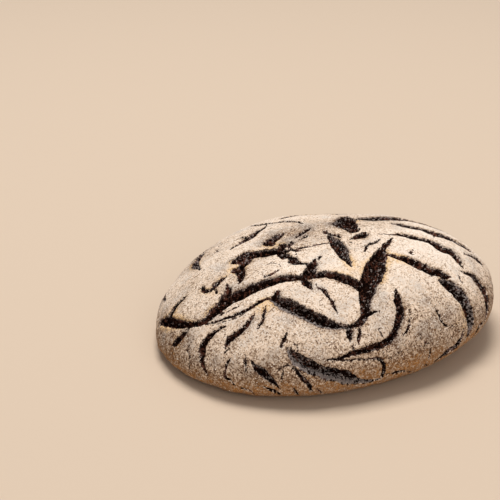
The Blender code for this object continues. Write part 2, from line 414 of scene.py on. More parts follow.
    Fissure("left_short", SPLIT, ((-56, -107, 0.8), (-57, -111, 2), (-57.5, -115, 1.5), (-58, -118, 0.8))),
    # Low in front
    Fissure("low_front", GASH,
            ((47, -139.5, 1.5), (34, -142.5, 3), (25, -143, 5.5), (18, -141, 8.5), (11, -138.5, 9.5),
             (4, -136, 9), (-3, -134, 8.5), (-9, -131, 7.5), (-15, -127.5, 9), (-21, -122.5, 8.5),
             (-26.5, -117, 5.5), (-28.5, -111.5, 1.5)), dusted=1.3),
    Fissure("knob_arc", SPLIT, ((-25, -109.5, 0.7), (-22.5, -111.5, 0.8), (-23, -115, 0.8))),
    Fissure("left_low_dash", GASH,
            ((-53, -113, 1.4), (-50.5, -118, 3.9), (-47.5, -122, 5.3), (-44.3, -127, 4.8),
             (-41.5, -131, 3.5), (-38.5, -136.5, 0.9)), dusted=0.7),
    Fissure("low_wishbone", SPLIT,
            ((-36, -124, 0.9), (-31, -122.5, 1.1), (-27, -125, 1.4), (-24, -128.5, 2.2), (-20.5, -134, 3.1),
             (-16.5, -140, 3.1), (-15.5, -147, 2.2)), dusted=0.6),
    Fissure("low_tick", SPLIT, ((-33, -124, 0.7), (-34.5, -128, 1.3), (-36, -132, 0.7))),
    Fissure("rim_dash", SPLIT, ((-50, -131, 1), (-46.5, -136, 2.6), (-43.5, -140, 4.1), (-41.5, -145, 2.6))),
    Fissure("rim_drop", SPLIT, ((-28.5, -140, 1), (-27.5, -145, 2.5), (-28, -151, 1))),
    Fissure("rim_drop_right", SPLIT, ((-11, -144, 1), (-8, -149, 1.7), (-7, -153, 0.7))),
    Fissure("front_tick", SPLIT, ((-28, -101, 1), (-30, -104, 2.5), (-31.5, -107, 2.5), (-33, -110, 1.2))),
    Fissure("short_left", SPLIT, ((13.5, -105, 2.6), (14, -109, 4.6), (14.5, -112, 2.6), (14.5, -115.5, 1))),
    Fissure("short_right", SPLIT, ((21.5, -105.5, 1.7), (22, -109, 2.2), (21, -112.5, 2.8), (21, -117, 1.1))),
    Fissure("front_bow", GASH,
            ((50.5, -69.5, 1), (51.5, -76, 4), (52.5, -83, 6), (54, -90, 6), (53, -96, 5.5), (51.5, -102, 5),
             (49, -108, 5), (45, -113, 5), (38, -117, 5), (29, -120, 4.5), (20, -122, 4), (12, -124, 3),
             (4, -125.5, 1.5), (-4, -125, 0.8)), dusted=0.35),
    Fissure("front_bow_stub", SPLIT, ((17, -121, 2.1), (16.5, -117, 0.8))),
    Fissure("front_bow_lower", SPLIT,
            ((0, -126.5, 0.7), (10, -127, 0.9), (20, -127, 1.1), (30, -126.5, 1.1), (37, -126, 1.8),
             (42, -127.5, 2.7), (46, -131, 3.6), (47, -137, 3.6))),
    Fissure("bow_echo", SPLIT,
            ((61, -87, 0.8), (62, -95, 1.1), (61, -100, 1.8), (60, -103.5, 1.6), (58, -107, 0.9))),
    Fissure("cup_hair", SPLIT,
            ((81, -76, 0.8), (84, -80.5, 1.5), (88, -84, 1.8), (92.5, -85.5, 1.5), (97, -83.5, 0.8),
             (102, -79.5, 0.7))),
    Fissure("plate_tick", CREASE, ((37, -106, 0.8), (39.5, -110.5, 0.8))),
    Fissure("low_hair", CREASE, ((58.5, -117.5, 0.6), (54, -122, 0.8), (48, -125, 0.6))),
    Fissure("bird_wings", SPLIT, ((76, -104.5, 0.8), (78.5, -106, 1.6), (81, -104.5, 0.6))),
    Fissure("bird_tail", SPLIT, ((78.5, -105.5, 1), (78, -108.5, 0.8))),
    Fissure("bird_crumb", SPLIT, ((71, -102, 0.7), (72.5, -104.5, 0.8))),
    Fissure("right_low_tick", SPLIT, ((85, -107.5, 1), (88, -111.5, 2.2))),
    Fissure("right_low_hair", SPLIT, ((89, -117, 0.8), (95, -115, 1.2))),
    Fissure("low_right", GASH,
            ((111.5, -77, 1.8), (114, -83, 4.5), (112, -90, 4.5), (108.5, -96, 5), (105, -103, 4),
             (101, -109, 1.4)), dusted=0.6),
    Fissure("low_edge_crack", SPLIT,
            ((50, -136, 0.6), (56, -134, 1), (60, -132.5, 2), (66, -130.5, 1.7), (72, -128.5, 1),
             (80, -127, 0.7))),
    # Left shoulder
    Fissure("far_left", GASH,
            ((-88, -8, 1), (-92, 0, 3.5), (-96, 9, 6), (-97, 19, 8), (-95, 29, 7.5), (-96, 38, 5.5),
             (-91, 47, 6), (-84, 54, 4.5), (-78, 58, 1.2)), dusted=0.6),
    Fissure("far_left_fork", SPLIT, ((-96, 36, 3.5), (-102, 41, 3), (-109, 43, 1))),
    Fissure("far_left_inner", GASH,
            ((-68, 10, 1.2), (-61, 18, 4), (-55, 24, 6.5), (-49, 33, 5), (-44, 39, 3.5), (-41, 47, 1.2))),
    Fissure("far_left_tick", SPLIT, ((-55, 24, 3), (-60, 29, 2.4), (-63, 35, 1))),
    Fissure("far_left_rim", GASH,
            ((-118, -18, 1), (-122, -8, 3.5), (-124, 3, 5.5), (-121, 14, 5), (-122, 25, 4), (-117, 36, 2.5),
             (-114, 44, 1)), dusted=0.7),
    Fissure("left_low_edge", SPLIT,
            ((-133, -14, 0.8), (-136, 0, 2), (-141, 12, 3), (-138, 24, 2.2), (-140, 34, 1.6),
             (-133, 46, 0.8))),
    Fissure("left_rim_tick", SPLIT, ((-112, 56, 1), (-119, 58, 2), (-126, 56, 0.8))),
    Fissure("left_hair", CREASE, ((-78, 14, 0.8), (-80, 24, 1), (-77, 34, 0.8))),
    Fissure("left_back_dash", GASH,
            ((-104, 70, 1), (-99, 79, 3.5), (-92, 86, 5.5), (-88, 94, 4), (-82, 101, 1.2))),
    Fissure("left_back_tick", SPLIT, ((-92, 86, 2), (-85, 84, 1.6), (-80, 86, 0.8))),
    Fissure("left_back_hair", CREASE, ((-104, 54, 0.8), (-110, 62, 1.1), (-113, 72, 1.3), (-110, 83, 0.8))),
    # Back
    Fissure("back_serpent", SPLIT,
            ((-13, 35, 1.1), (-19, 43, 3.3), (-26, 48, 5), (-34, 50, 4.2), (-42, 52, 5.5), (-48, 58, 4.4),
             (-55, 67, 1.1))),
    Fissure("back_bow", GASH,
            ((-36, 62, 1.2), (-27, 66, 4), (-17, 71, 7), (-6, 75, 8.5), (5, 74, 7), (15, 77, 9.5),
             (26, 79, 8), (37, 77, 5.5), (46, 73, 4), (54, 73, 1.2)), dusted=0.7),
    Fissure("back_bow_fork", SPLIT, ((15, 79, 4), (20, 87, 3), (29, 91, 2), (36, 91, 0.8))),
    Fissure("back_bow_nib", SPLIT, ((-17, 71, 3), (-21, 79, 2.2), (-20, 85, 0.8))),
    Fissure("back_rim", GASH,
            ((-66, 84, 1.2), (-57, 92, 4), (-48, 96, 5.5), (-38, 103, 8), (-27, 107, 7.5), (-17, 107, 5),
             (-7, 111, 6.5), (3, 113, 4.5), (12, 110, 1.2)), dusted=0.8),
    Fissure("back_rim_right", SPLIT,
            ((20, 106, 0.8), (29, 108, 3), (38, 106, 4.5), (47, 101, 3.5), (55, 99, 1))),
    Fissure("back_rim_drop", SPLIT, ((-27, 109, 3), (-24, 117, 2.4), (-27, 124, 0.8))),
    Fissure("back_low", GASH,
            ((-22, 129, 1), (-12, 132, 3.5), (-2, 137, 5), (9, 136, 5.5), (20, 138, 4), (31, 134, 2.2),
             (40, 134, 0.8)), dusted=0.9),
    Fissure("back_low_left", SPLIT, ((-62, 133, 0.8), (-53, 137, 2.2), (-44, 138, 3), (-35, 143, 0.8))),
    Fissure("back_low_right", SPLIT,
            ((58, 114, 0.8), (66, 110, 3), (73, 105, 4.2), (81, 99, 3), (88, 95, 2.2), (92, 88, 0.8))),
    Fissure("back_dash", SPLIT,
            ((-80, 108, 0.8), (-72, 113, 2.5), (-66, 119, 3.5), (-57, 122, 2.5), (-52, 128, 0.8))),
    Fissure("back_right", GASH,
            ((70, 86, 1), (77, 79, 4), (84, 74, 7), (92, 67, 8), (99, 59, 6.5), (104, 49, 7), (111, 41, 5.5),
             (114, 31, 3), (115, 24, 1)), dusted=0.7),
    Fissure("back_right_fork", SPLIT, ((92, 67, 4), (88, 59, 3), (90, 52, 1))),
    Fissure("right_back_edge", GASH,
            ((118, 62, 1), (122, 52, 3.5), (127, 43, 5), (126, 33, 4.5), (130, 24, 3),
             (130, 15, 1)), dusted=0.8),
    Fissure("back_edge_crack", SPLIT,
            ((95, 103, 0.8), (103, 95, 2.4), (109, 86, 3.4), (117, 78, 2.2), (121, 70, 0.8))),
    Fissure("back_tick", SPLIT, ((-44, 78, 0.8), (-41, 83, 2.4), (-37, 88, 2), (-36, 93, 0.8))),
    Fissure("back_tick_right", SPLIT,
            ((59, 62, 0.8), (63, 68, 2), (65, 76, 2.4), (64, 83, 1.4), (67, 89, 0.8))),
    Fissure("back_star", SPLIT, ((46, 118, 0.8), (50, 122, 1.8), (54, 121, 0.8))),
    Fissure("back_star_leg", SPLIT, ((50, 122, 1.4), (50, 127, 0.8))),
    Fissure("back_hair", CREASE, ((-6, 90, 0.8), (4, 93, 1), (14, 98, 1.1), (24, 98, 0.8))),
    Fissure("back_hair_long", CREASE, ((-70, 70, 0.8), (-62, 76, 1), (-52, 77, 1.1), (-44, 72, 0.8))),
    Fissure("right_back_hair", CREASE, ((100, 30, 0.8), (98, 38, 1), (93, 44, 0.8))),
)


@dataclass
class FissureMap:
    """The fissures drawn on a fine grid over the crust's map.

    Attributes:
        reach: Half the side of the square grid.
        cell: Grid spacing.
        margin: How far beside a fissure its distance is worked out.
        course_step: Length of the straight pieces that a course is drawn with.
    """

    reach: float
    cell: float = 0.4
    margin: float = 12.0
    course_step: float = 1.5
    fissures: tuple[Fissure, ...] = FISSURES

    def __post_init__(self) -> None:
        """Draws every fissure."""
        self.side = int(math.ceil(2 * self.reach / self.cell)) + 1
        self.axis = -self.reach + self.cell * np.arange(self.side)
        self.grain = Grain(seed=11)
        blank = np.full((self.side, self.side), self.margin)
        self.gap = blank.copy()                  # distance to the nearest edge, negative inside
        self.flank = blank * 0                   # -1 at the right edge, 1 at the left, dusted edge
        self.width = blank * 0
        self.depth = blank * 0
        self.dusted = blank * 0
        for fissure in self.fissures:
            self._draw(fissure)
        places = np.stack(np.meshgrid(self.axis, self.axis), axis=-1)
        rag = 0.5 * self.grain(places, 2.6, octaves=2) + 0.35 * self.grain(places + 90, 1.5)
        self.gap += rag * smoothstep(0.5, 3.0, self.width)
        self.away = np.stack(np.gradient(self._soften(self.gap, 2), self.cell)[::-1], axis=-1)
        self.away /= np.maximum(np.linalg.norm(self.away, axis=-1, keepdims=True), 1e-6)
        self.lip = self._soften(self.width, 6)

    def _soften(self, values: np.ndarray, passes: int) -> np.ndarray:
        """Averages a grid with its neighbours, a number of times."""
        for _ in range(passes):
            for axis in (0, 1):
                values = (np.roll(values, 1, axis) + 2 * values + np.roll(values, -1, axis)) / 4
        return values

    def course(self, fissure: Fissure) -> np.ndarray:
        """Smooth wandering course of a fissure.

        Args:
            fissure: The fissure.

        Returns:
            Rows of (along, across, width), about a course step apart.
        """
        knots = np.array(fissure.course, dtype=float)
        ends = np.vstack([2 * knots[0] - knots[1], knots, 2 * knots[-1] - knots[-2]])
        rows = []
        for before, start, end, after in zip(ends, ends[1:], ends[2:], ends[3:]):
            count = max(2, round(float(np.linalg.norm(end - start)) / self.course_step))
            t = np.arange(count)[:, None] / count
            rows.append(0.5 * (2 * start + (end - before) * t
                               + (2 * before - 5 * start + 4 * end - after) * t ** 2
                               + (3 * start - before - 3 * end + after) * t ** 3))
        run = np.vstack([*rows, knots[-1:]])
        run[:, 2] = np.maximum(run[:, 2], 0.6)
        wander = self.grain(run[:, :2], 6.0)[:, None] * (0.25 + 0.04 * run[:, 2:])
        drift = np.gradient(run[:, :2], axis=0)
        drift /= np.linalg.norm(drift, axis=1, keepdims=True)
        run[:, :2] += wander * np.stack([-drift[:, 1], drift[:, 0]], axis=1)
        run[:, 2] *= 1 + 0.15 * self.grain(run[:, :2] + 50, 5.0)
        return run

    def _draw(self, fissure: Fissure) -> None:
        """Writes one fissure's distance, flank, width and depth where it is the nearest one."""
        run = self.course(fissure)
        for start, end in zip(run, run[1:]):
            spread = self.margin + max(start[2], end[2]) / 2
            low = np.minimum(start[:2], end[:2]) - spread
            high = np.maximum(start[:2], end[:2]) + spread
            c0, r0 = (max(0, int((v + self.reach) / self.cell)) for v in low)
            c1, r1 = (min(self.side, int((v + self.reach) / self.cell) + 2) for v in high)
            if c1 <= c0 or r1 <= r0:
                continue
            window = np.s_[r0:r1, c0:c1]
            along, across = self.axis[c0:c1][None, :] - start[0], self.axis[r0:r1][:, None] - start[1]
            leg = end[:2] - start[:2]
            length = float(np.hypot(*leg))
            share = np.clip((along * leg[0] + across * leg[1]) / length ** 2, 0, 1)
            off_along, off_across = along - share * leg[0], across - share * leg[1]
            width = start[2] + share * (end[2] - start[2])
            gap = np.hypot(off_along, off_across) - width / 2
            nearer = gap < self.gap[window]
            lateral = (leg[0] * off_across - leg[1] * off_along) / length / (width / 2)
            depth = np.minimum(fissure.tear.depth_share * width, fissure.tear.most_depth)
            for grid, values in ((self.gap, gap), (self.flank, lateral), (self.width, width), (self.depth, depth),
                                 (self.dusted, fissure.dusted)):
                grid[window] = np.where(nearer, values, grid[window])

    def read(self, grid: np.ndarray, places: np.ndarray) -> np.ndarray:
        """Reads a grid between its points.

        Args:
            grid: One of this map's grids.
            places: Rows of (along, across).

        Returns:
            The grid's values there.
        """
        at = np.clip((places + self.reach) / self.cell, 0, self.side - 1.001)
        cell = at.astype(int)
        share = at - cell
        column, row = cell[:, 0], cell[:, 1]
        right, up = share[:, 0], share[:, 1]
        if grid.ndim == 3:
            right, up = right[:, None], up[:, None]
        lower = grid[row, column] * (1 - right) + grid[row, column + 1] * right
        upper = grid[row + 1, column] * (1 - right) + grid[row + 1, column + 1] * right
        return lower * (1 - up) + upper * up


# ---------------------------------------------------------------------------------------------------
# The mesh
# ---------------------------------------------------------------------------------------------------

@dataclass
class Lattice:
    """A flat triangle mesh that is made finer where it needs to be.

    Attributes:
        places: Rows of (along, across).
        triangles: Rows of three vertex numbers, counter-clockwise.
    """

    places: np.ndarray
    triangles: np.ndarray

    @classmethod
    def disc(cls, radius: float, rings: int) -> "Lattice":
        """Even disc of rings of vertices, ring n holding 6 n of them.

        Args:
            radius: Radius of the disc.
            rings: Number of rings.

        Returns:
            The disc.
        """
        places = [(0.0, 0.0)]
        triangles = []
        first = [0]
        for ring in range(1, rings + 1):
            first.append(len(places))
            for index in range(6 * ring):
                angle = 2 * math.pi * index / (6 * ring)
                places.append((radius * ring / rings * math.cos(angle), radius * ring / rings * math.sin(angle)))
        for ring in range(1, rings + 1):
            outer, inner = 6 * ring, max(6 * (ring - 1), 1)
            for index in range(outer):
                sector, step = divmod(index, ring)
                low = first[ring - 1] + (sector * (ring - 1) + step) % inner
                here, after = first[ring] + index, first[ring] + (index + 1) % outer
                triangles.append((low, here, after))
                if step < ring - 1:
                    triangles.append((low, after, first[ring - 1] + (sector * (ring - 1) + step + 1) % inner))
        return cls(np.array(places), np.array(triangles))

    def edges(self) -> tuple[np.ndarray, np.ndarray]:
        """Every edge once, and for each triangle the numbers of its three edges."""
        pairs = np.stack([self.triangles, np.roll(self.triangles, -1, axis=1)], axis=-1).reshape(-1, 2)
        pairs.sort(axis=1)
        unique, number = np.unique(pairs, axis=0, return_inverse=True)
        return unique, number.reshape(-1, 3)

    def refine(self, longest) -> None:
        """Halves every edge that is too long and rebuilds the triangles around it.

        Args:
            longest: Function from places to the longest edge wanted there.
        """
        pairs, number = self.edges()
        middles = self.places[pairs].mean(axis=1)
        lengths = np.linalg.norm(self.places[pairs[:, 0]] - self.places[pairs[:, 1]], axis=1)
        split = lengths > longest(middles)
        fresh = np.full(len(pairs), -1)
        fresh[split] = len(self.places) + np.arange(int(split.sum()))
        self.places = np.vstack([self.places, middles[split]])
        halves = fresh[number]
        count = (halves >= 0).sum(axis=1)
        parts = [self.triangles[count == 0]]
        for triangle, half in self._turned(halves, count, 1, split_first=True):
            a, b, c = triangle.T
            parts += [np.stack([a, half[:, 0], c], 1), np.stack([half[:, 0], b, c], 1)]
        for triangle, half in self._turned(halves, count, 2, split_first=False):
            a, b, c = triangle.T
            ab, ca = half[:, 0], half[:, 2]
            parts += [np.stack([a, ab, ca], 1), np.stack([ab, b, c], 1), np.stack([ab, c, ca], 1)]
        whole = count == 3
        (a, b, c), (ab, bc, ca) = self.triangles[whole].T, halves[whole].T
        parts += [np.stack(t, 1) for t in ((a, ab, ca), (ab, b, bc), (ca, bc, c), (ab, bc, ca))]
        self.triangles = np.vstack(parts)

    def _turned(self, halves: np.ndarray, count: np.ndarray, wanted: int, split_first: bool):
        """Yields triangles with a number of split edges, turned so that the odd edge is first, or second."""
        for turn in range(3):
            odd = halves[:, turn] >= 0 if wanted == 1 else halves[:, (turn + 1) % 3] < 0
            chosen = (count == wanted) & odd
            yield np.roll(self.triangles[chosen], -turn, axis=1), np.roll(halves[chosen], -turn, axis=1)

    def relax(self, passes: int) -> None:
        """Moves inner vertices towards the middle of their neighbours."""
        pairs, number = self.edges()
        uses = np.bincount(number.ravel(), minlength=len(pairs))
        fixed = np.zeros(len(self.places), bool)
        fixed[pairs[uses == 1].ravel()] = True
        both = np.vstack([pairs, pairs[:, ::-1]])
        degree = np.bincount(both[:, 0], minlength=len(self.places))
        for _ in range(passes):
            total = np.stack([np.bincount(both[:, 0], self.places[both[:, 1], axis], len(self.places))
                              for axis in (0, 1)], axis=1)
            mean = total / degree[:, None]
            self.places = np.where(fixed[:, None], self.places, 0.5 * (self.places + mean))

    def rim(self) -> np.ndarray:
        """Numbers of the outer vertices, in the order of their bearing."""
        pairs, number = self.edges()
        uses = np.bincount(number.ravel(), minlength=len(pairs))
        outer = np.unique(pairs[uses == 1])
        bearing = np.arctan2(self.places[outer, 1], self.places[outer, 0])
        return outer[np.argsort(bearing)]


# ---------------------------------------------------------------------------------------------------
# Finishes
# ---------------------------------------------------------------------------------------------------

def new_material(name: str) -> tuple[bpy.types.Material, bpy.types.NodeTree, bpy.types.Node]:
    """Starts a material.

    Args:
        name: The real material's name.

    Returns:
        The material, its tree and its Principled shader.
    """
    material = bpy.data.materials.new(name)
    material.use_nodes = True
    tree = material.node_tree
    return material, tree, tree.nodes["Principled BSDF"]


@dataclass(frozen=True)
class Coat:
    """One layer of colour over the ones below, such as a skin's flour or a crack's dust.

    Attributes:
        colour: The layer's colour.
        terms: What its share is summed from: names of values that the mesh carries, or sizes in
            millimetres of patterns in space, each with a weight.
        start: Sum at which the layer begins to show; it may be above full.
        full: Sum at which it shows most.
        strength: How much of what lies below it hides there.
    """

    colour: str
    terms: tuple[tuple[str | float, float], ...]
    start: float
    full: float
    strength: float = 1.0


@dataclass(frozen=True)
class Finish:
    """A rough baked surface, painted in coats from the ground colour up.

    Attributes:
        name: The real material's name.
        ground: Colour under every coat.
        coats: The coats, lowest first.
        roughness: Roughness of the surface.
        gloss: How strongly it mirrors light head-on.
        relief: What the fine relief is summed from, as a coat's share is.
        relief_mm: Height of that relief.
        detail: Layers in each pattern, each half as wide as the last.
    """

    name: str
    ground: str
    coats: tuple[Coat, ...]
    roughness: float
    gloss: float
    relief: tuple[tuple[str | float, float], ...]
    relief_mm: float
    detail: float = 2.0

    def build(self) -> bpy.types.Material:
        """Builds the material.

        Returns:
            The material.
        """
        material, tree, shader = new_material(self.name)
        place = add_node(tree, "ShaderNodeTexCoord").outputs["Object"]
        known: dict[str | float, bpy.types.NodeSocket] = {}

        def total(terms: tuple[tuple[str | float, float], ...]) -> bpy.types.NodeSocket | float:
            """Sums weighted values and patterns."""
            result = 0.0
            for source, weight in terms:
                if source not in known and isinstance(source, str):
                    known[source] = add_node(tree, "ShaderNodeAttribute", attribute_name=source).outputs["Fac"]
                elif source not in known and source < SEPARATE:
                    pattern = {"Vector": place, "Scale": 1 / (source * MM)}
                    known[source] = add_node(tree, "ShaderNodeTexVoronoi", pattern).outputs["Color"]
                elif source not in known:
                    pattern = {"Vector": place, "Scale": 1 / (source * MM), "Detail": self.detail, "Roughness": 0.65}
                    known[source] = add_node(tree, "ShaderNodeTexNoise", pattern).outputs["Fac"]
                result = add_node(tree, "ShaderNodeMath", {0: known[source], 1: weight, 2: result},
                                  operation="MULTIPLY_ADD").outputs[0]
            return result

        colour = linear(self.ground)
        for coat in self.coats:
            share = {"Value": total(coat.terms), "From Min": coat.start, "From Max": coat.full,
                     "To Max": coat.strength}
            share = add_node(tree, "ShaderNodeMapRange", share, interpolation_type="SMOOTHSTEP").outputs[0]
            layer = {0: share, 6: colour, 7: linear(coat.colour)}
            colour = add_node(tree, "ShaderNodeMix", layer, data_type="RGBA").outputs[2]
        tree.links.new(colour, shader.inputs["Base Color"])
        shader.inputs["Roughness"].default_value = self.roughness
        shader.inputs["Specular IOR Level"].default_value = self.gloss
        relief = {"Height": total(self.relief), "Strength": 1.0, "Distance": self.relief_mm * MM}
        tree.links.new(add_node(tree, "ShaderNodeBump", relief).outputs["Normal"], shader.inputs["Normal"])
        return material


# Sizes in millimetres of the patterns that the coats are laid with.  Real flour grains are far finer than
# what shows from arm's length, so grain and fleck are drawn coarse enough to be seen.
GRAIN, FINE, FLECK, MOTTLE, CLOUD = 0.8, 1.6, 2.3, 6.0, 16.0
SEPARATE = 1.5           # patterns finer than this are separate grains, coarser ones are clouds
COVER = (("flour", 1.0), (GRAIN, 1.3), (FLECK, 1.5), (MOTTLE, 0.9), (CLOUD, 0.6))    # patterns add 2.15
EDGE = (("gap", 1.0), (GRAIN, 1.2), (FLECK, 3.5))                                   # patterns add 2.35

# Rye crust proofed in flour and baked: a thin toasted skin under a dry, uneven coat of rye flour.  The flour
# is thick on the crown and thin where the skin stretched; where it is thin, the skin shows between grains.
# At the left end and over the upper left, its thinner flour and golden toast are partly painted shade.
FLOURED_CRUST = Finish(
    "floured_rye_crust", "62432B",
    (Coat("A2743C", ((GRAIN, 0.6), (MOTTLE, 1.0)), 0.62, 0.95),
     Coat("B98344", (("rim", 0.8), (FLECK, 0.8), (GRAIN, 0.5)), 0.90, 1.35),
     Coat("A08A74", COVER, 2.05, 2.60),
     Coat("DBC5AF", COVER, 2.35, 3.25),
     Coat("F1E6DA", (("flour", 1.0), (GRAIN, 0.7), (CLOUD, 0.5)), 1.42, 2.22),
     Coat("85817F", (("flour", -0.3), (CLOUD, 2.0), (GRAIN, 0.8), ("rim", -0.8)), 1.15, 1.55, 0.50),
     # Golden toast beside the tears; over the upper left and at the left end it is partly painted shade.
     Coat("DEB985", (("toast", 1.0), (GRAIN, 0.5), (MOTTLE, 0.6)), 0.85, 1.35, 0.75),
     Coat("5C463A", (("flour", 0.45), (GRAIN, 1.0)), 0.81, 0.47, 0.58),
     Coat("F3E6D8", (("flour", 0.5), (GRAIN, 1.0)), 0.98, 1.35, 0.58),
     Coat("2E1B14", EDGE, 2.50, 2.20, 0.9)),
    roughness=0.92, gloss=0.2, relief=((FINE, 1.0), (FLECK, 0.4), ("flour", 0.4)), relief_mm=0.5, detail=1.0)

# Dark rye crumb that tore open while the loaf rose, then baked dry.  Its near-black ground is the crumb's dark
# brown deepened with painted shade of the crevices, and its reddish patches are painted highlights where rags of
# dough would catch the light.  Grey flour clings to its torn edges, and more of it lies on the outer flank.
TORN_CRUMB = Finish(
    # Near-black ground: dark brown crumb with painted shade of the crevices.
    "torn_rye_crumb", "180B07",
    # Reddish patches laid by pattern: painted highlights of rags catching the light.
    (Coat("583529", ((FLECK, 0.8), (MOTTLE, 1.4), (GRAIN, 0.3)), 1.24, 1.46),
     Coat("8A807D", (("gap", 0.25), ("dust", 1.0), (GRAIN, 0.9), (FLECK, 0.8), (MOTTLE, 0.6)), 1.33, 1.80, 0.9),
     Coat("80716D", (("fringe", 1.0), (GRAIN, 0.6), (FLECK, 0.8)), 1.10, 1.65, 0.65),
     Coat("DDCBBB", EDGE, 2.40, 2.65, 0.9)),
    roughness=0.85, gloss=0.02, relief=((FLECK, 1.0), (GRAIN, 0.3)), relief_mm=1.2, detail=1.0)

# Rags of torn crumb: the same dough, each rag baked to its own tone, a few of them dusted with flour.
TORN_RAGS = Finish(
    "torn_rye_rags", "150A07",
    (Coat("633E2F", (("tone", 1.0), (GRAIN, 0.4)), 0.65, 1.20),
     Coat("8B8380", (("tone", 1.0), ("dust", 0.5), (GRAIN, 0.2)), 1.00, 1.20, 0.9)),
    roughness=0.85, gloss=0.02, relief=((GRAIN, 0.5),), relief_mm=0.4)

# Underside that baked on the oven's stone: a hard brown skin with flour pressed into it.
BAKED_BASE = Finish(
    "stone_baked_rye_base", "5B3A25",
    (Coat("8A5C38", ((CLOUD, 1.0),), 0.38, 0.62),
     Coat("CDB08C", ((CLOUD, 1.0), (FLECK, 1.0)), 1.05, 1.25, 0.7)),
    roughness=0.8, gloss=0.3, relief=((FLECK, 1.0), (MOTTLE, 1.0)), relief_mm=0.6, detail=3.0)

# Rye flour that clumped in the proofing basket.
CLUMPED_FLOUR = Finish(
    "clumped_rye_flour", "D8C6B2",
    (Coat("F3EAE0", (("tone", 1.0), (GRAIN, 0.4)), 0.3, 0.9),),
    roughness=0.95, gloss=0.2, relief=((GRAIN, 1.0),), relief_mm=0.2)

# Grey flour dust that fell on the dark crumb.
FALLEN_FLOUR = Finish(
    "flour_dust_on_crumb", "4F4743",
    (Coat("A39B96", (("tone", 1.0), (GRAIN, 0.4)), 0.45, 0.95),
     Coat("DCCFC2", (("tone", 1.0),), 0.88, 0.94)),
    roughness=0.95, gloss=0.2, relief=((GRAIN, 1.0),), relief_mm=0.2)


# ---------------------------------------------------------------------------------------------------
# The loaf
# ---------------------------------------------------------------------------------------------------

